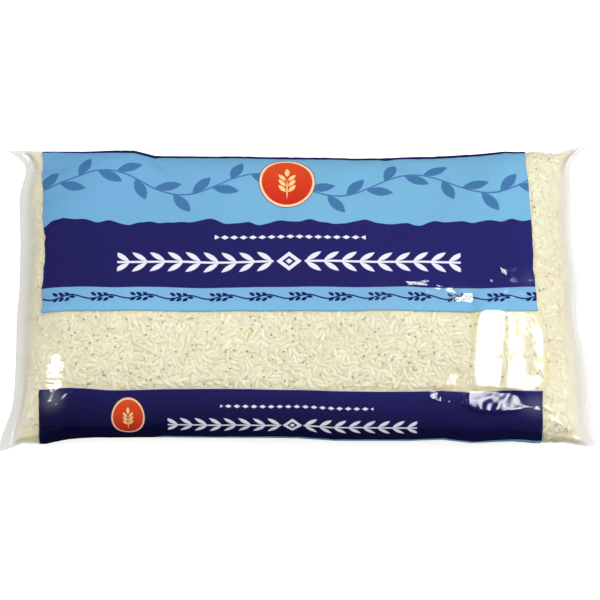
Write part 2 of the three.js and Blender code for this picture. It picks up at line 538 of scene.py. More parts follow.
@dataclass
class FilmLines:
    """The lines that the film is divided by, so that every layer of it has the same facets."""

    film: Film
    pitch: float = 0.82
    shoulder_pitch: float = 0.7
    plain_pitch: float = 1.15
    back_pitch: float = 2.2
    plain_ends: tuple[float, float] = (-60.0, 40.0)
    print_ends: tuple[float, float] = (-117.0, 108.0)
    left_ends: Curve = (        # girth, and how far along the bag the print ends there
        (2, -120.3), (9, -119.8), (20, -119.2), (35, -117.9), (50, -116.8), (55, -116.5), (62, -114.8),
        (75, -115.0), (85, -115.9), (94, -115.8), (129, -115.6), (158, -116.4), (170, -116.4), (290, -119.0))
    right_ends: Curve = (
        (2, 105.8), (9, 105.3), (20, 105.0), (35, 105.8), (50, 105.8), (62, 106.0), (75, 106.0), (85, 106.9),
        (94, 107.5), (129, 108.9), (158, 109.1), (170, 109.0), (290, 106.0))
    warp_start: float = 90.0
    warp_length: float = 18.0
    end_steps: int = 300
    end_rounds: int = 5
    upper_end: float = 94.2         # girths where the printed panels start and end
    band_sides: tuple[float, float] = (129.3, 163.0)
    back_sides: tuple[float, float] = (250.0, 299.0)
    more_lines: tuple[float, float] = (9.0, 154.5)
    stations: Array = field(init=False)
    girths: Array = field(init=False)
    ends: tuple[Array, Array, Array] = field(init=False)

    def __post_init__(self) -> None:
        """Divides the film between the borders of its parts."""
        form = self.film.form
        flat = form.seal - form.shoulder
        knots = [-form.tip, -form.seal, -flat, flat, form.seal, form.tip, *self.print_ends, *self.plain_ends]
        self.stations = self.divide(sorted(knots), self.along_pitch)
        borders = [0.0, self.upper_end, *self.band_sides, *self.back_sides, *self.more_lines, self.film.girth]
        self.girths = self.divide(sorted(borders), self.around_pitch)
        around = np.linspace(0, self.film.girth, self.end_steps + 1)
        self.ends = (around, *(self.reach(around, ends) for ends in (self.left_ends, self.right_ends)))

    def along_pitch(self, station: float) -> float:
        """Finds how closely the lines stand along the bag: closest in the shoulders.

        Args:
            station: a place along the bag.

        Returns:
            The pitch wanted there.
        """
        if abs(station) > self.film.form.seal - self.film.form.shoulder:
            return self.shoulder_pitch
        start, end = self.plain_ends
        return self.plain_pitch if start < station < end else self.pitch

    def around_pitch(self, girth: float) -> float:
        """How closely the lines stand round the bag: widest underneath."""
        return self.back_pitch if girth > self.band_sides[1] else self.pitch

    def divide(self, knots: list[float], pitch: Callable[[float], float]) -> Array:
        """Divides each stretch between two knots evenly.

        Args:
            knots: rising places that must be lines.
            pitch: gives the pitch wanted at the middle of a stretch.

        Returns:
            All lines, rising.
        """
        lines = [np.array(knots[:1])]
        for low, high in zip(knots, knots[1:]):
            count = max(1, round((high - low) / pitch((low + high) / 2)))
            lines.append(np.linspace(low, high, count + 1)[1:])
        return np.concatenate(lines)

    def between(self, ends: tuple[float, float], sides: tuple[float, float]) -> tuple[Array, Array]:
        """Picks the lines of a part of the film.

        Args:
            ends: its first and last station.
            sides: its first and last girth, where the last may be past the far edge.

        Returns:
            Grids of stations and girths.
        """
        twice = np.concatenate([self.girths[:-1], self.girths + self.film.girth])
        picked = [lines[(lines > low - TOLERANCE) & (lines < high + TOLERANCE)]
                  for lines, (low, high) in ((self.stations, ends), (twice, sides))]
        return np.meshgrid(*picked, indexing="ij")

    def reach(self, around: Array, ends: Curve) -> Array:
        """Finds the stations that come to lie at given places along the bag.

        Args:
            around: girths, rising.
            ends: girths, each with how far along the bag its place lies.

        Returns:
            The station of each girth.
        """
        wanted = np.interp(around, *np.array(ends).T, period=self.film.girth)
        station = wanted.copy()
        for _ in range(self.end_rounds):
            station += wanted - self.film.bare(station, around)[..., 0]
        return station

    def end_lines(self, girth: Array) -> tuple[Array, Array]:
        """Reads where the print ends.

        Args:
            girth: places round the bag.

        Returns:
            Stations of its left and of its right end there.
        """
        around, left, right = self.ends
        place = np.mod(girth, self.film.girth)
        return np.interp(place, around, left), np.interp(place, around, right)

    def warp(self, stations: Array, girths: Array) -> Array:
        """Moves the lines of a panel so that its ends follow the print's real ends.

        Args:
            stations: the panel's stations, straight.
            girths: its girths.

        Returns:
            Its stations, bent near the ends.
        """
        left, right = self.end_lines(girths)
        move = np.where(stations < 0, left - self.print_ends[0], right - self.print_ends[1])
        return stations + move * ease((np.abs(stations) - self.warp_start) / self.warp_length)

    def printed(self, station: Array, girth: Array, margin: float = 0.0) -> Array:
        """Finds the printed panels.

        Args:
            station: places along the bag.
            girth: places round it.
            margin: how far the panels are drawn in on every side.

        Returns:
            True on the panels.
        """
        left, right = self.end_lines(girth)
        around = np.mod(girth, self.film.girth)
        upper = (around < self.upper_end - margin) | (around > self.back_sides[0] + margin)
        band = (around > self.band_sides[0] + margin) & (around < self.band_sides[1] - margin)
        return (station > left + margin) & (station < right - margin) & (upper | band)


def deselect() -> None:
    """Leaves object mode with nothing selected."""
    if bpy.context.object and bpy.context.object.mode != "OBJECT":
        bpy.ops.object.mode_set(mode="OBJECT")
    bpy.ops.object.select_all(action="DESELECT")


def lay_sheet(name: str, points: Array, places: Array, weld: float = 0.0) -> bpy.types.Object:
    """Adds a flat grid, lays its vertices at the given points and keeps the flat places as UVs.

    Args:
        name: the piece's name.
        points: rows along the bag, columns round it, in millimetres.
        places: station and girth of each point.
        weld: distance in millimetres under which edges that meet are joined, or 0.

    Returns:
        The sheet, facing out of the bag.
    """
    rows, columns = points.shape[:2]
    deselect()
    bpy.ops.mesh.primitive_grid_add(x_subdivisions=rows - 1, y_subdivisions=columns - 1, size=1)
    sheet = bpy.context.object
    sheet.name = name
    mesh = sheet.data
    flat = np.empty(len(mesh.vertices) * 3)
    mesh.vertices.foreach_get("co", flat)
    flat = flat.reshape(-1, 3)
    row = np.rint((flat[:, 0] + 0.5) * (rows - 1)).astype(int)
    column = np.rint((0.5 - flat[:, 1]) * (columns - 1)).astype(int)
    mesh.vertices.foreach_set("co", (points[row, column] * MM).ravel())
    corner = np.empty(len(mesh.loops), dtype=int)
    mesh.loops.foreach_get("vertex_index", corner)
    mesh.uv_layers[0].name = FILM_MAP
    mesh.uv_layers[0].uv.foreach_set("vector", places[row, column][corner].astype(np.float32).ravel())
    if weld:
        bpy.ops.object.mode_set(mode="EDIT")
        bpy.ops.mesh.select_all(action="SELECT")
        bpy.ops.mesh.remove_doubles(threshold=weld * MM)
        bpy.ops.object.mode_set(mode="OBJECT")
    bpy.ops.object.shade_smooth()
    mesh.update()
    return sheet


def thicken(piece: bpy.types.Object, thickness: float) -> None:
    """Gives a sheet a wall inwards from its outer face.

    Args:
        piece: the sheet.
        thickness: the wall in millimetres.
    """
    wall = piece.modifiers.new("wall", "SOLIDIFY")
    wall.thickness = thickness * MM
    wall.offset = -1
    deselect()
    bpy.context.view_layer.objects.active = piece
    piece.select_set(True)
    bpy.ops.object.modifier_apply(modifier=wall.name)


class Graph:
    """A material's node tree, with short ways to add and link nodes."""

    def __init__(self, name: str) -> None:
        """Makes an empty material.

        Args:
            name: its name.
        """
        self.material = bpy.data.materials.new(name)
        self.material.use_nodes = True
        self.tree = self.material.node_tree
        self.tree.nodes.clear()

    def node(self, kind: str, inputs: dict | None = None, **settings: object) -> bpy.types.Node:
        """Adds a node.

        Args:
            kind: its type, without the ShaderNode that starts it.
            inputs: socket names or numbers with a value or a socket to link.
            settings: the node's own settings.

        Returns:
            The node.
        """
        node = self.tree.nodes.new("ShaderNode" + kind)
        for key, value in settings.items():
            setattr(node, key, value)
        for key, value in (inputs or {}).items():
            self.feed(node.inputs[key], value)
        return node

    def feed(self, socket: Socket, value: object) -> None:
        """Links a socket to another one, or sets its value.

        Args:
            socket: an input.
            value: an output to link it to, or a value.
        """
        if isinstance(value, bpy.types.NodeSocket):
            self.tree.links.new(value, socket)
        else:
            socket.default_value = value

    def math(self, operation: str, *values: object, clamp: bool = False) -> Socket:
        """Adds a Math node on up to three values."""
        inputs = dict(enumerate(values))
        return self.node("Math", inputs, operation=operation, use_clamp=clamp).outputs[0]

    def line(self, value: object, scale: float, offset: float) -> Socket:
        """Scales and shifts a value."""
        return self.math("MULTIPLY_ADD", value, scale, offset)

    def under(self, value: object, edge: object, soft: float) -> Socket:
        """A mask that is 1 where value is under edge, over a soft border in millimetres."""
        gap = self.math("SUBTRACT", edge, value)
        return self.math("MULTIPLY_ADD", gap, 1 / soft, 0.5, clamp=True)

    def blend(self, share: object, first: object, second: object) -> Socket:
        """Mixes two colours.

        Args:
            share: share of the second.
            first, second: the colours.

        Returns:
            The mixed colour.
        """
        mix = self.node("Mix", data_type="RGBA")
        self.feed(mix.inputs["Factor"], share)
        self.feed(mix.inputs["A"], first)
        self.feed(mix.inputs["B"], second)
        return mix.outputs["Result"]

    def mix(self, share: object, first: Socket, second: Socket) -> Socket:
        """Mixes two shaders by a share of the second."""
        return self.node("MixShader", {0: share, 1: first, 2: second}).outputs[0]

    def attribute(self, name: str) -> Socket:
        """Reads a number that is stored on the mesh."""
        return self.node("Attribute", attribute_name=name, attribute_type="GEOMETRY").outputs["Fac"]

    def away(self, value: object, middle: float) -> Socket:
        """How far a value is from a middle, either way."""
        return self.math("ABSOLUTE", self.line(value, 1, -middle))

    def wrap(self, value: object, pitch: float) -> Socket:
        """Repeats a value over each pitch, from minus to plus half of it."""
        return self.math("WRAP", value, pitch / 2, -pitch / 2)

    def from_wave(self, x: Socket, y: Socket, pitch: float, swing: float, middle: float) -> Socket:
        """Measures how far places are from a wavy line.

        Args:
            x, y: the place on the film.
            pitch: length of one wave.
            swing: how far it goes to either side.
            middle: the line that it swings about.

        Returns:
            The distance across the line.
        """
        wave = self.math("SINE", self.math("MULTIPLY", x, 2 * math.pi / pitch))
        return self.math("ABSOLUTE", self.math("SUBTRACT", y, self.line(wave, swing, middle)))

    def noise(self, vector: object, scale: float, detail: float = 2.0, dimensions: str = "3D") -> Socket:
        """Reads a Noise texture.

        Args:
            vector: the place, or one number where the noise has one dimension.
            scale: cells in a unit.
            detail: finer layers on top.
            dimensions: the node's name for them.

        Returns:
            The noise's value.
        """
        node = self.node("TexNoise", {"Scale": scale, "Detail": detail}, noise_dimensions=dimensions)
        if dimensions == "1D":
            self.feed(node.inputs["W"], vector)
        else:
            self.feed(node.inputs["Vector"], vector)
        return node.outputs[0]

    def finish(self, surface: Socket) -> bpy.types.Material:
        """Links the shader to the output and gives the material."""
        self.feed(self.node("OutputMaterial").inputs["Surface"], surface)
        return self.material


@dataclass(frozen=True)
class Leaf:
    """A pointed leaf of a printed ornament, in millimetres on the flat film."""

    x: float
    y: float
    turn: float
    length: float
    width: float

    def mask(self, graph: Graph, x: Socket, y: Socket, soft: float = SOFT) -> Socket:
        """Draws the leaf.

        Args:
            graph: the material's nodes.
            x, y: the place on the film.
            soft: width of its soft border.

        Returns:
            A mask that is 1 inside the leaf.
        """
        c, s = math.cos(math.radians(self.turn)), math.sin(math.radians(self.turn))
        along = graph.math("MULTIPLY_ADD", x, c, graph.line(y, s, -self.x * c - self.y * s))
        aside = graph.math("MULTIPLY_ADD", x, -s, graph.line(y, c, self.x * s - self.y * c))
        half = self.width / 2
        belly = graph.line(graph.math("MULTIPLY", along, along), -half / (self.length / 2) ** 2, half)
        return graph.under(graph.math("ABSOLUTE", aside), belly, soft)


def leaves_mask(graph: Graph, leaves: list[Leaf], x: Socket, y: Socket, soft: float = SOFT) -> Socket:
    """Joins the masks of several leaves.

    Args:
        graph: the material's nodes.
        leaves: the leaves to draw.
        x, y: the place on the film.
        soft: width of their soft borders.

    Returns:
        A mask that is 1 inside any leaf.
    """
    joined = leaves[0].mask(graph, x, y, soft)
    for leaf in leaves[1:]:
        joined = graph.math("MAXIMUM", joined, leaf.mask(graph, x, y, soft))
    return joined


@dataclass(frozen=True)
class Laurel:
    """A printed divider: two leafy rods that run out from a lozenge in the middle.

    The shares are of half its height.
    """

    x: float
    y: float
    start: float
    end: float
    pitch: float
    height: float
    leaf_turn: float = 32.0
    leaf_rise: float = 0.56
    leaf_width: float = 0.5
    rod_width: float = 0.11
    ring_inside: float = 0.55
    heart: float = 0.28
    slant: float = 0.8

    def mask(self, graph: Graph, x: Socket, y: Socket) -> Socket:
        """Draws the divider.

        Args:
            graph: the material's nodes.
            x, y: the place on the film.

        Returns:
            A mask that is 1 on its ink.
        """
        out, up = graph.away(x, self.x), graph.away(y, self.y)
        size = self.height / 2
        cell = graph.math("WRAP", out, self.start + self.pitch, self.start)
        leaf = Leaf(self.start + self.pitch / 2, size * self.leaf_rise, self.leaf_turn, self.pitch,
                    size * self.leaf_width)
        inside = graph.math("MULTIPLY", graph.under(out, self.end, FINE), graph.under(self.start, out, FINE))
        rod = graph.under(up, self.rod_width * size, FINE)
        twigs = graph.math("MAXIMUM", leaf.mask(graph, cell, up), rod)
        lozenge = graph.math("MULTIPLY_ADD", out, self.slant, up)
        ring = graph.math("SUBTRACT", graph.under(lozenge, size, SOFT),
                          graph.under(lozenge, size * self.ring_inside, SOFT))
        middle = graph.math("MAXIMUM", ring, graph.under(lozenge, size * self.heart, SOFT))
        return graph.math("MAXIMUM", graph.math("MULTIPLY", twigs, inside), middle)


@dataclass(frozen=True)
class Beads:
    """A printed row of small lozenges."""

    x: float
    y: float
    half_length: float
    pitch: float
    size: float
    slant: float = 0.55

    def mask(self, graph: Graph, x: Socket, y: Socket) -> Socket:
        """Draws the row.

        Args:
            graph: the material's nodes.
            x, y: the place on the film.

        Returns:
            A mask that is 1 on its ink.
        """
        cell = graph.math("ABSOLUTE", graph.wrap(graph.line(x, 1, -self.x), self.pitch))
        lozenge = graph.math("MULTIPLY_ADD", cell, self.slant, graph.away(y, self.y))
        row = graph.under(graph.away(x, self.x), self.half_length, FINE)
        return graph.math("MULTIPLY", graph.under(lozenge, self.size, SOFT), row)


@dataclass(frozen=True)
class Medallion:
    """A printed oval with a pale ring and a plain ear of grain."""

    x: float
    y: float
    half_width: float
    half_height: float
    top: Colour = srgb(226, 84, 34)
    foot: Colour = srgb(205, 40, 30)
    outline: Colour = srgb(150, 30, 30)
    ring: Colour = srgb(244, 222, 190)
    grain: Colour = srgb(250, 214, 150)
    ring_reach: float = 0.97
    face_reach: float = 0.89
    tip: Leaf = Leaf(0, -0.46, 90, 0.42, 0.17)      # the ear's parts are in shares of the half width
    side: Leaf = Leaf(0.17, -0.2, 38, 0.4, 0.16)
    stalk: Leaf = Leaf(0, 0.35, 90, 0.9, 0.05)
    pair_pitch: float = 0.26
    pairs: int = 3

    def paint(self, graph: Graph, x: Socket, y: Socket, ground: Socket) -> Socket:
        """Paints the oval over a ground.

        Args:
            graph: the material's nodes.
            x, y: the place on the film.
            ground: the colour around it.

        Returns:
            The ground with the oval on it.
        """
        right, up = graph.line(x, 1, -self.x), graph.line(y, 1, -self.y)
        across = graph.math("MULTIPLY", right, 1 / self.half_width)
        along = graph.math("MULTIPLY", up, 1 / self.half_height)
        squares = (graph.math("MULTIPLY", part, part) for part in (across, along))
        reach = graph.math("SQRT", graph.math("ADD", *squares))
        soft = BROAD / self.half_width
        face = graph.blend(graph.line(along, 0.5, 0.5), self.top, self.foot)
        painted = ground
        for edge, colour in ((1.0, self.outline), (self.ring_reach, self.ring), (self.face_reach, face)):
            painted = graph.blend(graph.under(reach, edge, soft), painted, colour)
        return graph.blend(leaves_mask(graph, self.ear(), right, up), painted, self.grain)

    def ear(self) -> list[Leaf]:
        """Lays out the ear of grain.

        Returns:
            Its tip, its pairs of grains and its stalk, round the oval's middle.
        """
        grain, size = self.side, self.half_width
        leaves = [self.tip]
        for pair in range(self.pairs):
            for hand in (-1, 1):
                leaves.append(Leaf(hand * grain.x, grain.y + pair * self.pair_pitch, 90 + hand * grain.turn,
                                   grain.length, grain.width))
        return [Leaf(leaf.x * size, leaf.y * size, leaf.turn, leaf.length * size, leaf.width * size)
                for leaf in (*leaves, self.stalk)]


@dataclass(frozen=True)
class FrontPrint:
    """The inks of the printed front, both panels, and how they shine under the film.

    Places are girths, and the colours of a field change from its left or its top to the other end.
    On the navy, the sky and the band this change is painted shade, darker to the left and at the band's foot.
    """

    navy: Colour = srgb(40, 38, 108)
    # Painted shade: the next colour is both the dark ink of the far edge and the back, and the darker left
    # end of the navy.
    deep_navy_and_shade: Colour = srgb(33, 31, 92)
    # Painted shade on the band: darker at its top left, and darker still at its foot, most at the left.
    band_top_shade: Colour = srgb(32, 28, 88)
    band_foot_shade_left: Colour = srgb(4, 6, 48)
    band_foot_shade_right: Colour = srgb(18, 17, 72)
    # Painted shade: the sky's colour at its darker left end; pale_sky is its colour from the middle on.
    sky: Colour = srgb(115, 174, 217)
    pale_sky: Colour = srgb(122, 182, 219)
    leaf: Colour = srgb(70, 120, 172)
    stripe_top: Colour = srgb(130, 180, 222)
    stripe_bottom: Colour = srgb(126, 188, 227)
    vine: Colour = srgb(20, 36, 92)
    white: Colour = srgb(236, 236, 250)
    pale: Colour = srgb(214, 208, 222)
    length: float = 240.0
    # Painted shade: how the sky darkens towards the left end.
    sky_shading: tuple[float, float] = (1 / 120, 0.9)      # change with each millimetre, and share at the middle
    line_end: float = 10.5
    far_line: float = 290.0
    torn_edge: float = 51.2
    torn_height: float = 6.5
    torn_middle: float = 3.2
    torn_wave: tuple[float, float, float] = (0.085, 3.0, 0.6)   # cells in a millimetre, shift and detail
    torn_step: tuple[float, float, float] = (-111.0, 9.0, 4.0)  # station, length and drop
    stripe_start: float = 83.2
    stripe_width: float = 9.0
    band_start: float = 129.3
    band_width: float = 20.0
    back_strip: float = 157.3
    strip_step: tuple[float, float, float] = (-64.0, 6.0, 4.0)
    pale_line: float = 0.35
    upper_seal: Medallion = Medallion(-5.0, 28.0, 13.0, 15.5)
    upper_marks: tuple[Laurel, Beads] = (
        Laurel(-4, 71, 7, 77, 8.0, 9.0), Beads(-3.5, 59, 34, 4.2, 1.0))
    band_seal: Medallion = Medallion(-75.6, 142.5, 7.6, 9.8)
    band_marks: tuple[Laurel, Beads] = (
        Laurel(-2.5, 146.5, 5, 55.5, 6.5, 7.0), Beads(-0.5, 137.2, 34, 3.8, 0.8))
    vine_pitch: float = 17.7
    vine_line: float = 87.6
    vine_swing: float = -0.9
    tendril: float = 0.34
    sprig_tip: Leaf = Leaf(5.2, 0.1, 4, 3.0, 1.3)       # the sprig's heights are from the vine's line
    sprig_leaf: Leaf = Leaf(2.8, 1.15, -28, 3.1, 1.5)
    branch_pitch: float = 70.0
    branch_line: float = 30.0
    branch_swing: float = 6.5
    branch_leaves: int = 8
    branch_leaf: tuple[float, float] = (12.5, 5.2)
    leaf_turn: float = 38.0
    leaf_reach: float = 6.6
    twig: float = 0.45
    roughness: float = 0.45

    def branch(self) -> list[Leaf]:
        """Lays leaves on both sides of the wavy branch.

        Returns:
            The leaves of one pitch, with those that reach over its ends twice.
        """
        leaves = []
        for step in range(self.branch_leaves):
            x = ((step + 0.5) / self.branch_leaves - 0.5) * self.branch_pitch
            phase = 2 * math.pi * x / self.branch_pitch
            steepness = 2 * math.pi * self.branch_swing / self.branch_pitch
            side = 1 if step % 2 else -1
            turn = math.degrees(math.atan(steepness * math.cos(phase))) + side * self.leaf_turn
            x += self.leaf_reach * math.cos(math.radians(turn))
            y = self.branch_line + self.branch_swing * math.sin(phase)
            y += self.leaf_reach * math.sin(math.radians(turn))
            leaves.append(Leaf(x, y, turn, *self.branch_leaf))
            if abs(x) > self.branch_pitch / 2 - self.leaf_reach:
                leaves.append(Leaf(x - math.copysign(self.branch_pitch, x), y, turn, *self.branch_leaf))
        return leaves

    def sprig(self) -> list[Leaf]:
        """Lays out one sprig of the vine.

        Returns:
            Its end leaf and three pairs of leaves.
        """
        tip, leaf = self.sprig_tip, self.sprig_leaf
        leaves = [Leaf(tip.x, self.vine_line + tip.y, tip.turn, tip.length, tip.width)]
        for x in (-leaf.x, 0.0, leaf.x):
            for side in (-1, 1):
                y = self.vine_line + side * leaf.y
                leaves.append(Leaf(x, y, side * leaf.turn, leaf.length, leaf.width))
        return leaves

    def sky_field(self, graph: Graph, x: Socket, y: Socket) -> Socket:
        """Paints the sky blue field.

        Args:
            graph: the material's nodes.
            x, y: the place on the film.

        Returns:
            Its colour, with the branch on it.
        """
        # Painted shade: the sky darkens towards the left end.
        sky = graph.blend(graph.line(x, *self.sky_shading), self.sky, self.pale_sky)
        cell = graph.wrap(x, self.branch_pitch)
        gap = graph.from_wave(cell, y, self.branch_pitch, self.branch_swing, self.branch_line)
        twig = graph.under(gap, self.twig, SOFT)
        branch = graph.math("MAXIMUM", leaves_mask(graph, self.branch(), cell, y), twig)
        return graph.blend(branch, sky, self.leaf)

    def marked(self, graph: Graph, x: Socket, y: Socket, ground: Socket,
               marks: tuple[Laurel, Beads]) -> Socket:
        """Prints a divider and a row of lozenges in white.

        Args:
            graph: the material's nodes.
            x, y: the place on the film.
            ground: the colour under them.
            marks: the divider and the row.

        Returns:
            The ground with the marks on it.
        """
        ink = graph.math("MAXIMUM", *(mark.mask(graph, x, y) for mark in marks))
        return graph.blend(ink, ground, self.white)

    def stripe(self, graph: Graph, x: Socket, y: Socket) -> Socket:
        """Paints the light blue stripe.

        Args:
            graph: the material's nodes.
            x, y: the place on the film.

        Returns:
            Its colour, with the vine on it.
        """
        down = graph.line(y, 1 / self.stripe_width, -self.stripe_start / self.stripe_width)
        stripe = graph.blend(down, self.stripe_top, self.stripe_bottom)
        cell = graph.wrap(x, self.vine_pitch)
        gap = graph.from_wave(cell, y, self.vine_pitch, self.vine_swing, self.vine_line)
        tendril = graph.under(gap, self.tendril, FINE)
        vine = graph.math("MAXIMUM", leaves_mask(graph, self.sprig(), cell, y, FINE), tendril)
        return graph.blend(vine, stripe, self.vine)

    def band(self, graph: Graph, x: Socket, y: Socket) -> Socket:
        """Paints the navy band at the near edge.

        Args:
            graph: the material's nodes.
            x, y: the place on the film.

        Returns:
            Its colour, with painted shade towards its foot and its left end, its marks, its seal, the strip
            under it and the pale line over it.
        """
        # Painted shade: the band darkens towards its foot and towards the left.
        along = graph.line(x, 1 / self.length, 0.5)
        down = graph.line(y, 1 / self.band_width, -self.band_start / self.band_width)
        band = graph.blend(down, graph.blend(along, self.band_top_shade, self.navy),
                           graph.blend(along, self.band_foot_shade_left, self.band_foot_shade_right))
        band = self.marked(graph, x, y, band, self.band_marks)
        band = self.band_seal.paint(graph, x, y, band)
        at, reach, drop = self.strip_step
        strip = graph.math("MULTIPLY_ADD", graph.under(x, at, reach), drop, self.back_strip)
        band = graph.blend(graph.under(strip, y, BROAD), band, self.stripe_bottom)
        return graph.blend(graph.under(y, self.band_start + self.pale_line, CRISP), band, self.pale)

    def torn_line(self, graph: Graph, x: Socket) -> Socket:
        """Draws the torn lower edge of the sky blue field.

        Args:
            graph: the material's nodes.
            x: the station.

        Returns:
            The edge's girth there.
        """
        scale, shift, detail = self.torn_wave
        ragged = graph.noise(graph.line(x, scale, shift), 1.0, detail, "1D")
        torn = graph.line(ragged, self.torn_height, self.torn_edge - self.torn_middle)
        at, reach, drop = self.torn_step
        return graph.math("MULTIPLY_ADD", graph.under(x, at, reach), drop, torn)

    def material(self) -> bpy.types.Material:
        """Builds the print's material.

        Returns:
            The material of both printed panels of the front.
        """
        graph = Graph("front_print")
        place = graph.node("SeparateXYZ", {0: graph.node("UVMap", uv_map=FILM_MAP).outputs[0]})
        x, y = place.outputs["X"], place.outputs["Y"]
        # Painted shade: the navy darkens towards the left end.
        navy = graph.blend(graph.line(x, 1 / self.length, 0.5), self.deep_navy_and_shade, self.navy)
        navy = self.marked(graph, x, y, navy, self.upper_marks)
        torn = graph.under(y, self.torn_line(graph, x), BROAD)
        colour = graph.blend(torn, navy, self.sky_field(graph, x, y))
        colour = graph.blend(graph.under(y, self.line_end, BROAD), colour, self.deep_navy_and_shade)
        colour = self.upper_seal.paint(graph, x, y, colour)
        colour = graph.blend(graph.under(self.stripe_start, y, FINE), colour, self.stripe(graph, x, y))
        colour = graph.blend(graph.under(self.band_start - 1, y, FINE), colour, self.band(graph, x, y))
        colour = graph.blend(graph.under(self.far_line, y, FINE), colour, self.deep_navy_and_shade)
        shader = graph.node("BsdfPrincipled", {"Base Color": colour, "Roughness": self.roughness,
                                               "Specular IOR Level": 0.0})
        return graph.finish(shader.outputs[0])


@dataclass(frozen=True)
class ClearFilm:
    """Clear glossy film, milky where it is welded and in patches of painted sheen."""

    ior: float = 1.5
    roughness: float = 0.07
    most_gloss: float = 0.11
    clear: Colour = (0.985, 0.985, 0.98, 1)
    milk: Colour = srgb(250, 250, 247)
    through: float = 0.4

    def material(self, name: str = "clear_film") -> bpy.types.Material:
        """Builds the film's material.

        Args:
            name: the material's name.

        Returns:
            A see-through material with the gloss of film.
        """
        graph = Graph(name)
        haze = graph.attribute(HAZE)
        clear = graph.node("BsdfTransparent", {"Color": self.clear}).outputs[0]
        front = graph.node("BsdfDiffuse", {"Color": self.milk}).outputs[0]
        behind = graph.node("BsdfTranslucent", {"Color": self.milk}).outputs[0]
        body = graph.mix(haze, clear, graph.mix(self.through, front, behind))
        gloss = graph.node("BsdfGlossy", {"Roughness": self.roughness}).outputs[0]
        edge = graph.math("MINIMUM", graph.node("Fresnel", {"IOR": self.ior}).outputs[0], self.most_gloss)
        return graph.finish(graph.mix(edge, body, gloss))


@dataclass(frozen=True)
class MilledRice:
    """Milled long-grain rice: creamy, a little translucent, each grain of its own tone."""

    dull: Colour = srgb(244, 232, 190)
    bright: Colour = srgb(255, 250, 219)
    roughness: float = 0.42
    tint_share: float = 0.8
    cloud_share: float = 0.3
    cloud_scale: float = 350.0
    depth: float = 0.4
    glow: Place = (1.0, 0.9, 0.7)

    def material(self, name: str) -> bpy.types.Material:
        """Builds the rice's material.

        Args:
            name: the material's name.

        Returns:
            A satin material with soft light inside.
        """
        graph = Graph(name)
        cloud = graph.noise(graph.node("TexCoord").outputs["Object"], self.cloud_scale)
        tone = graph.math("ADD", graph.math("MULTIPLY", graph.attribute(TINT), self.tint_share),
                          graph.math("MULTIPLY", cloud, self.cloud_share))
        shader = graph.node("BsdfPrincipled", {
            "Base Color": graph.blend(tone, self.dull, self.bright), "Roughness": self.roughness,
            "Subsurface Weight": self.depth, "Subsurface Radius": self.glow, "Subsurface Scale": MM})
        return graph.finish(shader.outputs[0])


def dress(piece: bpy.types.Object, material: bpy.types.Material) -> None:
    """Gives a finished piece its material and the body that it rides on.

    Args:
        piece: the finished piece.
        material: its material.
    """
    piece.data.materials.clear()
    piece.data.materials.append(material)
    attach(piece, BODY)
    piece.data.calc_loop_triangles()
    log.info("%s: %d triangles", piece.name, len(piece.data.loop_triangles))


def flat_places(piece: bpy.types.Object) -> tuple[Array, Array]:
    """Reads where the vertices of a sheet lie on the flat film.

    Args:
        piece: a sheet with its map.

    Returns:
        The station and the girth of each vertex.
    """
    mesh = piece.data
    corner = np.empty(len(mesh.loops), dtype=int)
    mesh.loops.foreach_get("vertex_index", corner)
    flat = np.empty(len(mesh.loops) * 2)
    mesh.uv_layers[FILM_MAP].uv.foreach_get("vector", flat)
    places = np.empty((len(mesh.vertices), 2))
    places[corner] = flat.reshape(-1, 2)
    return places[:, 0], places[:, 1]


def add_attribute(piece: bpy.types.Object, name: str, values: Array) -> None:
    """Stores one number for each vertex of a piece."""
    attribute = piece.data.attributes.new(name, "FLOAT", "POINT")
    attribute.data.foreach_set("value", values.astype(np.float32))


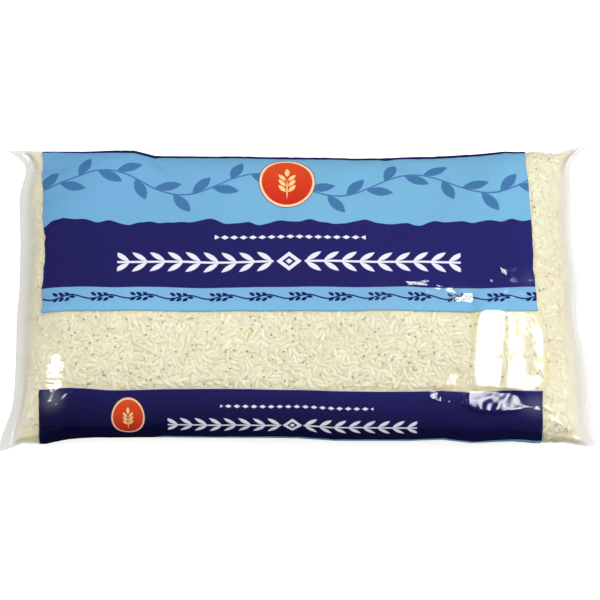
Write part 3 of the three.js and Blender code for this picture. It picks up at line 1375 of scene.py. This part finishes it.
@dataclass
class FilmBag:
    """The film's own pieces: the clear skin, and the printed panels just inside it."""

    lines: FilmLines
    ink_depth: float = 0.12
    ink_thickness: float = 0.04
    body_haze: float = 0.08
    margin_haze: float = 0.16
    margin: tuple[float, float] = (106.0, 14.0)     # station where it starts, and its length
    weld_haze: tuple[float, float] = (0.34, 0.36)
    weld_reach: tuple[float, float] = (8.0, 7.0)
    # Painted sheen: milky patches, over ink and clear film alike, that stand for soft reflections.
    sheen_patches: tuple[tuple[float, float, float, float, float], ...] = (    # station, girth, both reaches, haze
        (37.0, 102.5, 6.0, 12.0, 0.12), (67.0, 122.0, 7.0, 6.0, 0.1), (60.0, 108.0, 22.0, 12.0, 0.04),
        (-107.0, 101.0, 7.0, 5.0, 0.09), (-109.0, 134.0, 4.0, 4.0, 0.2), (105.0, 136.0, 5.0, 4.0, 0.12),
        (103.0, 80.0, 3.0, 4.0, 0.04), (71.5, 86.5, 4.5, 2.6, 0.2))
    fin_haze: tuple[float, float] = (0.12, -0.25)
    fin: tuple[float, float] = (0.5, 2.5)           # how far beyond the weld it starts, and its length
    lap_sides: tuple[float, float] = (226.0, 236.0)
    lap_lines: int = 9
    lap_gap: float = 1.5
    lap_depth: float = 0.08
    lap_haze: float = 0.3

    def build(self) -> None:
        """Builds and dresses every piece of the film."""
        lines = self.lines
        self.skin()
        front = FrontPrint().material()
        self.panel("print_upper", front, (lines.back_sides[1], lines.film.girth + lines.upper_end))
        self.panel("print_band", front, lines.band_sides)
        self.panel("print_back", front, lines.back_sides)
        self.lap()

    def skin(self) -> None:
        """Builds the closed clear skin, welded along its back seam and at both cut ends."""
        lines = self.lines
        film = lines.film
        stations, girths = np.meshgrid(lines.stations, lines.girths, indexing="ij")
        points, _ = film.places(stations, girths)
        points[:, -1] = points[:, 0]
        skin = lay_sheet("film", points, np.stack([stations, girths], axis=-1), weld=WELD)
        add_attribute(skin, HAZE, self.haze(*flat_places(skin)))
        dress(skin, ClearFilm().material())
        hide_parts(CAD_NODE)

    def lap(self) -> None:
        """Builds the strip where the film's two long edges overlap, welded down the back."""
        lines = self.lines
        stations = lines.stations[np.abs(lines.stations) < lines.film.form.seal - self.lap_gap]
        girths = np.linspace(*self.lap_sides, self.lap_lines)
        stations, girths = np.meshgrid(stations, girths, indexing="ij")
        points, normals = lines.film.places(stations, girths)
        lap = lay_sheet("back_seam", points - normals * self.lap_depth, np.stack([stations, girths], axis=-1))
        thicken(lap, self.ink_thickness)
        add_attribute(lap, HAZE, np.full(len(lap.data.vertices), self.lap_haze))
        dress(lap, ClearFilm().material("seam_film"))

    def haze(self, station: Array, girth: Array) -> Array:
        """How milky the film is: a little where it is clear, more by the welds, none over ink, and patches of
        painted sheen anywhere.

        Args:
            station: places along the bag.
            girth: places round it.

        Returns:
            Shares of milky film.
        """
        lines = self.lines
        near = np.abs(station)
        haze = self.body_haze + self.margin_haze * ease((near - self.margin[0]) / self.margin[1])
        form = lines.film.form
        reach = form.by_end(station, self.weld_reach)
        haze += form.by_end(station, self.weld_haze) * ease((near - form.seal + reach) / (reach - 1))
        haze += form.by_end(station, self.fin_haze) * ease((near - form.seal - self.fin[0]) / self.fin[1])
        haze = np.where(lines.printed(station, girth), 0.0, haze)
        # Painted sheen: the milky patches that stand for soft reflections.
        for at, around, long, wide, amount in self.sheen_patches:
            haze += amount * np.exp(-((station - at) / long) ** 2 - ((girth - around) / wide) ** 2)
        return np.clip(haze, 0, 1)

    def panel(self, name: str, material: bpy.types.Material, sides: tuple[float, float]) -> None:
        """Builds one printed panel as a thin layer inside the film.

        Args:
            name: the panel's name.
            material: its inks.
            sides: its first and last girth.
        """
        stations, girths = self.lines.between(self.lines.print_ends, sides)
        stations = self.lines.warp(stations, girths)
        points, normals = self.lines.film.places(stations, girths)
        girths = np.where(girths > self.lines.film.girth, girths - self.lines.film.girth, girths)
        places = np.stack([stations, girths], axis=-1)
        panel = lay_sheet(name, points - normals * self.ink_depth, places)
        thicken(panel, self.ink_thickness)
        dress(panel, material)


@dataclass(frozen=True)
class GrainKind:
    """One kind of grain: its size, how pale it is and its share of the trials."""

    name: str
    length: float
    width: float
    thickness: float
    tint: tuple[float, float]
    share: float


@dataclass
class RiceFill:
    """The rice: a bumpy core, and grains laid against the inside of the film where it is clear."""

    film: Film
    kinds: tuple[GrainKind, ...] = (
        GrainKind("rice_long", 7.3, 2.2, 1.1, (0.1, 0.6), 0.36),
        GrainKind("rice_plump", 6.4, 2.3, 1.1, (0.2, 0.7), 0.3),
        GrainKind("rice_chalky", 6.4, 2.2, 1.1, (0.9, 1.3), 0.12),
        GrainKind("rice_broken", 4.2, 2.2, 1.1, (0.2, 0.8), 0.2),
        GrainKind("rice_ends", 3.4, 2.1, 1.1, (0.2, 0.8), 0.02),
    )
    rice: MilledRice = MilledRice()
    seed: int = 11

    core_lines: tuple[int, int] = (241, 257)
    core_gap: float = 2.0
    core_depth: float = 0.75
    core_floor: float = 0.6
    core_bumps: tuple[Ripple, ...] = (Ripple(3, 2.4, 2.4, 0.5), Ripple(4, 5.0, 5.0, 0.4))
    core_tint: float = 0.3
    # Painted shade in part: the core's rice is a little darker, and warmer, than the grains, for the shade
    # deep in the gaps.
    shaded_core_rice: MilledRice = MilledRice(srgb(240, 226, 180), srgb(250, 242, 204))

    layer_depths: tuple[float, ...] = (0.2, 0.45)
    trials: tuple[int, ...] = (110000, 60000)
    filling: float = 0.75           # share of a layer's trials after which only the smallest kind is laid
    end_gap: float = 1.5
    cell: float = 0.3
    coarse: float = 2.0
    stretch_limits: tuple[float, float] = (0.6, 4.0)
    print_margin: float = 3.6
    full_enough: float = 0.8
    thinnest: float = 6.0
    crowding: float = 0.42
    tip_room: float = 0.18
    footprint_step: float = 0.8
    footprint_edge: float = 1.15

    grain_sides: int = 6
    squareness: float = 0.6
    bend: float = 0.25
    reach: float = 0.8
    feet_along: tuple[float, ...] = (-0.4, -0.2, 0, 0.2, 0.4)
    feet_across: tuple[float, float] = (-0.35, 0.35)
    tucked: float = 0.45
    tucked_margin: float = 2.0
    size_spread: float = 0.07
    size_limits: tuple[float, float] = (0.8, 1.2)
    tilt_spread: float = 0.06
    grain_floor: float = 0.15

    speck: GrainKind = GrainKind("rice_specks", 1.1, 0.8, 0.5, (0.0, 1.0), 0.0)
    specks: int = 1900
    speck_depth: float = 0.12
    speck_gap: float = 4.0
    speck_overlap: float = 1.0
    speck_thinning: Place = (100.0, 15.0, 0.6)  # station where it starts, its length and the share left out
    # Painted shade in part: the specks' dark colour is bran, and stands for the shade of gaps between grains
    # too.
    bran_and_gap_shade: MilledRice = MilledRice(srgb(150, 138, 92), srgb(200, 188, 142))

    def __post_init__(self) -> None:
        """Starts the random draws and measures the film."""
        self.lines = FilmLines(self.film)
        self.random = np.random.default_rng(self.seed)
        self.limit = self.film.form.seal - self.end_gap
        self.ratio = self.measure()

    def build(self) -> None:
        """Builds and dresses the core and every kind of grain."""
        self.core()
        laid = self.pack()
        material = self.rice.material("milled_rice")
        for number, kind in enumerate(self.kinds):
            rows = laid[laid[:, 4] == number]
            log.info("%s: %d grains", kind.name, len(rows))
            self.grains(kind, rows, material)
        self.grains(self.speck, self.scatter(), self.bran_and_gap_shade.material("rice_bran_and_gap_shade"))

    def core(self) -> None:
        """Builds the rice behind the outer grains as one closed bumpy solid."""
        film = self.film
        rows, columns = self.core_lines
        stations = (film.form.seal - self.core_gap) * np.sin(np.linspace(-1, 1, rows) * np.pi / 2)
        stations, girths = np.meshgrid(stations, np.linspace(0, film.girth, columns), indexing="ij")
        points, normals = film.places(stations, girths)
        around = np.mod(girths, film.girth)
        bumps = sum(bump.at(stations, around) for bump in self.core_bumps)
        points = points - normals * (self.core_depth - np.minimum(bumps, 0))[..., None]
        points[:, -1] = points[:, 0]
        points[..., 2] = np.maximum(points[..., 2], self.core_floor)
        core = lay_sheet("rice_core", points, np.stack([stations, girths], axis=-1), weld=WELD)
        bpy.ops.object.mode_set(mode="EDIT")
        bpy.ops.mesh.select_all(action="DESELECT")
        bpy.ops.mesh.select_non_manifold()
        bpy.ops.mesh.edge_face_add()
        bpy.ops.object.mode_set(mode="OBJECT")
        add_attribute(core, TINT, np.full(len(core.data.vertices), self.core_tint))
        dress(core, self.shaded_core_rice.material("packed_rice"))

    def measure(self) -> Array:
        """Measures how the surface stretches, on a coarse grid of the film.

        Returns:
            How much longer the surface is than the flat film, along the bag and round it.
        """
        stations = np.arange(-self.limit, self.limit + self.coarse, self.coarse)
        girths = np.arange(0, self.film.girth, self.coarse)
        s, t = np.meshgrid(stations, girths, indexing="ij")
        along = self.film.bare(s + CHORD, t) - self.film.bare(s - CHORD, t)
        around = self.film.bare(s, t + CHORD) - self.film.bare(s, t - CHORD)
        spans = np.stack([np.linalg.norm(along, axis=-1), np.linalg.norm(around, axis=-1)], axis=-1)
        return np.clip(spans / (2 * CHORD), *self.stretch_limits)

    def stretch(self, station: float, girth: float) -> Array:
        """Reads the measured stretch at one place.

        Args:
            station, girth: the place.

        Returns:
            The stretch along the bag and round it.
        """
        row = int(np.clip((station + self.limit) / self.coarse, 0, self.ratio.shape[0] - 1))
        column = int(girth / self.coarse) % self.ratio.shape[1]
        return self.ratio[row, column]

    def wanted(self, station: Array, girth: Array) -> Array:
        """Finds where grains can be seen and the bag is thick enough to hold them.

        Args:
            station: places along the bag.
            girth: places round it.

        Returns:
            True where the film is clear, or within half a grain's length of it.
        """
        form = self.film.form
        full = form.fullness(station)
        rise = np.abs(np.sin(self.film.angle(station, girth))) ** (2 / form.crown_squareness)
        thick = (full > self.full_enough) | (form.crown * full * rise > self.thinnest)
        return ~self.lines.printed(station, girth, margin=self.print_margin) & thick

    def footprint(self, kind: GrainKind) -> Array:
        """Marks the middle of a grain, which no other grain of its layer may cover.

        Args:
            kind: the kind of grain.

        Returns:
            Points over it, in two rows.
        """
        length = kind.length * (self.crowding + self.tip_room) / 2
        width = kind.width * self.crowding / 2
        step = self.cell * self.footprint_step
        a, b = (np.arange(-half, half + TOLERANCE, step) for half in (length, width))
        a, b = (axis.ravel() for axis in np.meshgrid(a, b))
        inside = (a / length) ** 2 + (b / width) ** 2 <= self.footprint_edge
        return np.stack([a[inside], b[inside]])

    def pack(self) -> Array:
        """Lays grains by random trials, layer behind layer, none over another of its layer.

        Returns:
            One row for each grain: station, girth, turn, depth and number of its kind.
        """
        laid = []
        rows = int(2 * self.limit / self.cell) + 1
        columns = int(self.film.girth / self.cell)
        prints = [self.footprint(kind) for kind in self.kinds]
        for depth, trials in zip(self.layer_depths, self.trials):
            taken = np.zeros((rows, columns), dtype=bool)
            station = self.random.uniform(-self.limit, self.limit, trials)
            girth = self.random.uniform(0, self.film.girth, trials)
            turn = self.random.uniform(0, np.pi, trials)
            number = self.random.choice(len(self.kinds), trials, p=[kind.share for kind in self.kinds])
            number[int(trials * self.filling):] = len(self.kinds) - 1
            use = self.wanted(station, girth)
            for s, t, angle, n in zip(station[use], girth[use], turn[use], number[use]):
                long_stretch, round_stretch = self.stretch(s, t)
                c, d = math.cos(angle), math.sin(angle)
                a, b = prints[n]
                row = ((s + self.limit + (a * c - b * d) / long_stretch) / self.cell).astype(int)
                column = ((t + (a * d + b * c) / round_stretch) / self.cell).astype(int) % columns
                if row.min() < 0 or row.max() >= rows or taken[row, column].any():
                    continue
                taken[row, column] = True
                laid.append((s, t, angle, depth, n))
            log.info("layer at %.1f mm: %d grains so far", depth, len(laid))
        return np.array(laid)

    def scatter(self) -> Array:
        """Picks places for the dark specks, of bran and painted gap shade, just behind the film where it is
        clear.

        Returns:
            One row for each speck: station, girth, turn and depth.
        """
        limit = self.limit - self.speck_gap
        station = self.random.uniform(-limit, limit, self.specks)
        girth = self.random.uniform(0, self.film.girth, self.specks)
        turn = self.random.uniform(0, np.pi, self.specks)
        start, length, left_out = self.speck_thinning
        kept = self.random.uniform(0, 1, self.specks) > ease((np.abs(station) - start) / length) * left_out
        rows = np.stack([station, girth, turn, np.full(self.specks, self.speck_depth)], axis=-1)
        return rows[~self.lines.printed(station, girth, margin=-self.speck_overlap) & kept]

    def template(self, kind: GrainKind) -> tuple[Array, list[list[int]]]:
        """Models one grain: slender, blunt at the tips, a little bent.

        Args:
            kind: the kind of grain.

        Returns:
            Its vertices in millimetres, and the corners of each face.
        """
        deselect()
        sides = self.grain_sides
        bpy.ops.mesh.primitive_uv_sphere_add(segments=sides, ring_count=sides, radius=0.5)
        ball = bpy.context.object
        bpy.ops.object.mode_set(mode="EDIT")
        bpy.ops.mesh.select_all(action="SELECT")
        bpy.ops.transform.rotate(value=math.pi / 2, orient_axis="Y", center_override=(0, 0, 0))
        bpy.ops.transform.resize(value=(kind.length, kind.width, kind.thickness))
        bpy.ops.object.mode_set(mode="OBJECT")
        at = np.array([vertex.co[:] for vertex in ball.data.vertices])
        for axis, size in ((1, kind.width), (2, kind.thickness)):
            at[:, axis] = size / 2 * signed_power(at[:, axis] / (size / 2), self.squareness)
        at[:, 1] += self.bend * (1 - (at[:, 0] / (kind.length / 2)) ** 2)
        faces = [list(face.vertices) for face in ball.data.polygons]
        bpy.data.objects.remove(ball)
        return at, faces

    def lift(self, kind: GrainKind, s: Array, t: Array, turn: Array) -> Array:
        """Finds how high grains can lie without touching the film.

        Args:
            kind: the kind of grain.
            s, t: stations and girths.
            turn: how each grain is turned.

        Returns:
            The film's lowest relief over each grain, lower still behind the print.
        """
        places = [(a * kind.length, b * kind.width) for a in self.feet_along for b in self.feet_across]
        c, d = np.cos(turn), np.sin(turn)
        lowest = np.min([self.film.height(s + a * c - b * d, t + a * d + b * c) for a, b in places], axis=0)
        return lowest - self.tucked * self.lines.printed(s, t, margin=-self.tucked_margin)

    def grains(self, kind: GrainKind, rows: Array, material: bpy.types.Material) -> None:
        """Copies a grain to every place that it was laid, as one joined mesh.

        Args:
            kind: the kind of grain.
            rows: station, girth, turn and depth of each.
            material: the rice's material.
        """
        shape, faces = self.template(kind)
        count = len(rows)
        s, t, turn, depth = (rows[:, k] for k in range(4))
        film, reach = self.film, self.reach
        at = film.bare(s, t)
        before, after = film.bare(s - reach, t), film.bare(s + reach, t)
        near, far = film.bare(s, t - reach), film.bare(s, t + reach)
        along, around = after - before, far - near
        long_step = np.linalg.norm(along, axis=1, keepdims=True)
        round_step = np.linalg.norm(around, axis=1, keepdims=True)
        normal = np.cross(around, along)
        normal /= np.linalg.norm(normal, axis=1, keepdims=True)
        along /= long_step
        around = np.cross(along, normal)
        bend_along = np.sum((before + after - 2 * at) * normal, axis=1) / (long_step[:, 0] / 2) ** 2
        bend_round = np.sum((near + far - 2 * at) * normal, axis=1) / (round_step[:, 0] / 2) ** 2
        lift = self.lift(kind, s, t, turn)
        size = self.random.normal(1, self.size_spread, (count, 3)).clip(*self.size_limits)
        tilt = self.random.normal(0, self.tilt_spread, count)
        tint = self.random.uniform(*kind.tint, count)

        a, b, c = np.moveaxis(shape[None] * size[:, None], -1, 0)
        x = a * np.cos(turn)[:, None] - b * np.sin(turn)[:, None]
        y = a * np.sin(turn)[:, None] + b * np.cos(turn)[:, None]
        sag = 0.5 * (bend_along[:, None] * x ** 2 + bend_round[:, None] * y ** 2)
        out = c + a * tilt[:, None] + sag + (lift - depth - kind.thickness / 2)[:, None]
        points = (at[:, None] + x[..., None] * along[:, None] + y[..., None] * around[:, None]
                  + out[..., None] * normal[:, None])
        points[..., 2] = np.maximum(points[..., 2], self.grain_floor)

        vertices = len(shape)
        mesh = bpy.data.meshes.new(kind.name)
        every = [[corner + vertices * n for corner in face] for n in range(count) for face in faces]
        mesh.from_pydata((points.reshape(-1, 3) * MM).tolist(), [], every)
        piece = bpy.data.objects.new(kind.name, mesh)
        bpy.context.scene.collection.objects.link(piece)
        mesh.shade_smooth()
        add_attribute(piece, TINT, np.repeat(tint, vertices))
        dress(piece, material)


@dataclass(frozen=True)
class Softbox:
    """A rectangular softbox, in metres and watts. The film mirrors only some of them."""

    name: str
    at: Place
    aim: Place
    size: tuple[float, float]
    power: float
    mirrored: bool = False
    core: float = 0.12
    rim: float = 0.5

    def hang(self) -> None:
        """Adds the lamp, and lets it show in the film or light the rest."""
        lamp = bpy.data.lights.new(self.name, "AREA")
        lamp.shape = "RECTANGLE"
        lamp.size, lamp.size_y = self.size
        lamp.energy = self.power
        holder = bpy.data.objects.new(self.name, lamp)
        holder.location = self.at
        holder.rotation_euler = (Vector(self.at) - Vector(self.aim)).to_track_quat("Z", "Y").to_euler()
        bpy.context.scene.collection.objects.link(holder)
        if self.mirrored:
            self.soften(lamp)
            holder.visible_diffuse = False
        else:
            holder.visible_glossy = False

    def soften(self, lamp: bpy.types.AreaLight) -> None:
        """Makes the softbox fall off from its middle to nothing at its rim, as a real one does.

        Args:
            lamp: the lamp's data.
        """
        lamp.use_nodes = True
        tree = lamp.node_tree
        emission = next(node for node in tree.nodes if node.type == "EMISSION")
        place = tree.nodes.new("ShaderNodeNewGeometry").outputs["Parametric"]
        away = tree.nodes.new("ShaderNodeVectorMath")
        away.operation = "DISTANCE"
        away.inputs[1].default_value = (0.5, 0.5, 0.0)
        tree.links.new(place, away.inputs[0])
        fall = tree.nodes.new("ShaderNodeMapRange")
        fall.interpolation_type = "SMOOTHSTEP"
        limits = {"From Min": self.core, "From Max": self.rim, "To Min": 1.0, "To Max": 0.0}
        for name, value in limits.items():
            fall.inputs[name].default_value = value
        tree.links.new(away.outputs["Value"], fall.inputs["Value"])
        tree.links.new(fall.outputs[0], emission.inputs["Strength"])


@dataclass(frozen=True)
class Studio:
    """White floor, soft light from above and the right, and the camera that looks down."""

    view: Viewpoint = Viewpoint()
    focal_pixels: float = 2560.0
    image_pixels: float = 600.0
    sensor: float = 36.0
    ambient: float = 0.64
    mirrored: float = 0.12
    floor_size: float = 6.0
    floor_glow: float = 0.6
    floor_throw: float = 0.3
    floor_mirrored: float = 0.03
    softboxes: tuple[Softbox, ...] = (
        Softbox("key_softbox", (0.45, -0.08, 0.80), (0.09, -0.03, 0.03), (0.56, 0.50), 20.0, mirrored=True),
        Softbox("left_softbox", (-0.78, -0.10, 0.52), (-0.1, -0.02, 0.02), (0.27, 0.36), 6.0, mirrored=True),
        Softbox("fill_softbox", (0.3, 0.35, 1.4), (0.0, 0.0, 0.0), (1.0, 1.0), 8.5),
        Softbox("side_softbox_left", (-1.3, 0.1, 0.9), (0.0, 0.0, 0.0), (0.9, 0.9), 5.0),
        Softbox("side_softbox_right", (1.3, 0.1, 0.4), (0.0, 0.0, 0.0), (0.9, 0.9), 7.2),
    )

    def build(self) -> None:
        """Sets up floor, world, lights and camera."""
        self.floor()
        self.world()
        for softbox in self.softboxes:
            softbox.hang()
        self.camera()
        bpy.context.scene.view_settings.view_transform = "Standard"

    def by_ray(self, tree: bpy.types.NodeTree, rays: tuple[str, ...], other: float, chosen: float) -> Socket:
        """Gives one strength to some sorts of ray and another to all others.

        Args:
            tree: the node tree of the world or the floor.
            rays: the Light Path node's names for the sorts of ray.
            other: strength for all others.
            chosen: strength for those sorts.

        Returns:
            The strength.
        """
        path = tree.nodes.new("ShaderNodeLightPath")
        strength = tree.nodes.new("ShaderNodeMapRange")
        strength.inputs["To Min"].default_value = other
        strength.inputs["To Max"].default_value = chosen
        share = path.outputs[rays[0]]
        for ray in rays[1:]:
            both = tree.nodes.new("ShaderNodeMath")
            both.operation = "MAXIMUM"
            tree.links.new(share, both.inputs[0])
            tree.links.new(path.outputs[ray], both.inputs[1])
            share = both.outputs[0]
        tree.links.new(share, strength.inputs["Value"])
        return strength.outputs[0]

    def floor(self) -> None:
        """Adds the floor: white to the camera, and grey in what it throws back on the bag."""
        deselect()
        bpy.ops.mesh.primitive_plane_add(size=self.floor_size, location=(0, 0, 0))
        floor = bpy.context.object
        floor.name = "floor"
        graph = Graph("white_floor")
        share = self.by_ray(graph.tree, ("Is Diffuse Ray", "Is Glossy Ray"), 0.0, 1.0)
        white = graph.node("BsdfPrincipled", {
            "Base Color": (0.85, 0.85, 0.85, 1), "Roughness": 0.9, "Specular IOR Level": 0.1,
            "Emission Color": (1, 1, 1, 1), "Emission Strength": self.floor_glow}).outputs[0]
        grey = self.by_ray(graph.tree, ("Is Glossy Ray",), self.floor_throw, self.floor_mirrored)
        colour = graph.node("CombineColor", {part: grey for part in range(3)}).outputs[0]
        dull = graph.node("BsdfDiffuse", {"Color": colour}).outputs[0]
        floor.data.materials.append(graph.finish(graph.mix(share, white, dull)))

    def world(self) -> None:
        """Lights everything evenly with a white sky."""
        world = bpy.data.worlds.new("studio")
        bpy.context.scene.world = world
        world.use_nodes = True
        tree = world.node_tree
        ground = tree.nodes["Background"]
        ground.inputs["Color"].default_value = (1.0, 1.0, 1.0, 1)
        strength = self.by_ray(tree, ("Is Glossy Ray",), self.ambient, self.mirrored)
        tree.links.new(strength, ground.inputs["Strength"])

    def camera(self) -> None:
        """Places the camera at the photograph's viewing angle."""
        lens = bpy.data.cameras.new("camera")
        lens.sensor_width = self.sensor
        lens.lens = self.focal_pixels / self.image_pixels * self.sensor
        camera = bpy.data.objects.new("camera", lens)
        camera.location = Vector(self.view.eye * MM)
        camera.rotation_euler = Vector(self.view.back).to_track_quat("Z", "Y").to_euler()
        bpy.context.scene.collection.objects.link(camera)
        bpy.context.scene.camera = camera


def make_film() -> Film:
    """Describes the film's surface: its form and all of its relief.

    Returns:
        The film of the finished bag.
    """
    ripples = (Ripple(24, 1.9, 1.7, 0.03), Ripple(21, 3.1, 2.7, 0.09), Ripple(22, 13.0, 10.0, 0.22),
               Ripple(23, 34.0, 21.0, 0.3))
    folds = (Ripple(31, 30.0, 7.5, 0.55, True), Ripple(32, 14.0, 4.0, 0.25, True))
    creases = (
        Crease((96, 9), (89, 22), 0.3, 1.6),
        Crease((-68, 64), (-58, 52), 0.9, 2.0), Crease((38, 64), (50, 54), 0.8, 2.0))
    crumples = (
        Crumple(88, 136, (18, 8), Ripple(41, 3.4, 3.0, 0.42)),
        Crumple(88, 136, (18, 8), Ripple(46, 6.5, 5.0, 0.7, True)),
        Crumple(97, 112, (18, 21), Ripple(45, 5.0, 6.5, 0.52)),
        Crumple(61, 133, (7, 6), Ripple(42, 4.0, 3.0, 0.25, True)))
    facets = (
        # The large glare on the rice
        Facet(97.5, 112, 10.7, 17.1, -2, Glint.KEY_SIDE, 0.8, 0.3, 2.6),
        Facet(85, 111, 6.2, 16.7, 3, Glint.KEY, 0.6, 0.45, 2.6),
        # The streak over the stripe
        Facet(74, 87.5, 4.5, 2.4, 8, Glint.KEY, 0.5, 0.4),
        Facet(66, 84, 5.3, 1.2, 13, Glint.KEY, 0, 0.4),
        Facet(60.5, 83, 4, 1, 10, Glint.KEY, 0, 0.4),
        Facet(53, 81.5, 5.8, 1, 6, Glint.KEY, 0, 0.4),
        # Small glints on the navy field
        Facet(92, 75.5, 2.8, 0.8, 48, Glint.KEY, 0.6, 0.5),
        Facet(86.5, 79.5, 1.4, 0.6, 48, Glint.KEY, 0.2, 0.5),
        Facet(109, 73, 1.8, 1, 41, Glint.KEY, 0.4, 0.5),
        # Crumpled film over the band, and the rice next to it
        Facet(61, 131.5, 2.9, 2.1, 16, Glint.KEY, 0.8, 0.4),
        Facet(67, 134, 1.1, 0.9, -4, Glint.KEY, 0.5, 0.5),
        Facet(72, 134, 1.1, 1.1, -4, Glint.KEY, 0.5, 0.5),
        Facet(68.5, 124.5, 3.6, 1.5, -41, Glint.KEY_RIM, 0.8, 0.5),
        Facet(87, 133.5, 11.7, 4.2, 7, Glint.KEY, 0.36, 0.25, 2.4),
        Facet(104, 137, 5, 0.9, 14, Glint.KEY, 0.4, 0.5),
        Facet(113.5, 143.5, 5.5, 0.9, 48, Glint.KEY, 0.5, 0.6),
        # The glare at the left end
        Facet(-108, 121, 2.1, 6.7, 6, Glint.LEFT, 0.6, 0.4),
        Facet(-108, 128, 3.4, 2, 5, Glint.LEFT, 0.5, 0.4),
        Facet(-102, 132, 2.7, 0.8, -13, Glint.LEFT, 0.3, 0.5),
        Facet(-105.5, 135, 2.9, 0.9, -49, Glint.LEFT, 0.3, 0.5),
        Facet(-110, 133, 1.6, 2.8, 7, Glint.LEFT, 0.6, 0.4),
        Facet(-124, 16, 1.2, 2.9, 7, Glint.LEFT, 0.5, 0.4),
    )
    return Film(BagForm(), ripples, folds, creases, crumples, facets)


def main() -> None:
    """Builds the bag, its rice and the studio."""
    logging.basicConfig(level=logging.INFO, format="%(name)s: %(message)s")
    film = make_film()
    log.info("girth %.1f mm", film.girth)
    FilmBag(FilmLines(film)).build()
    RiceFill(film).build()
    Studio().build()


if __name__ == "__main__":
    main()
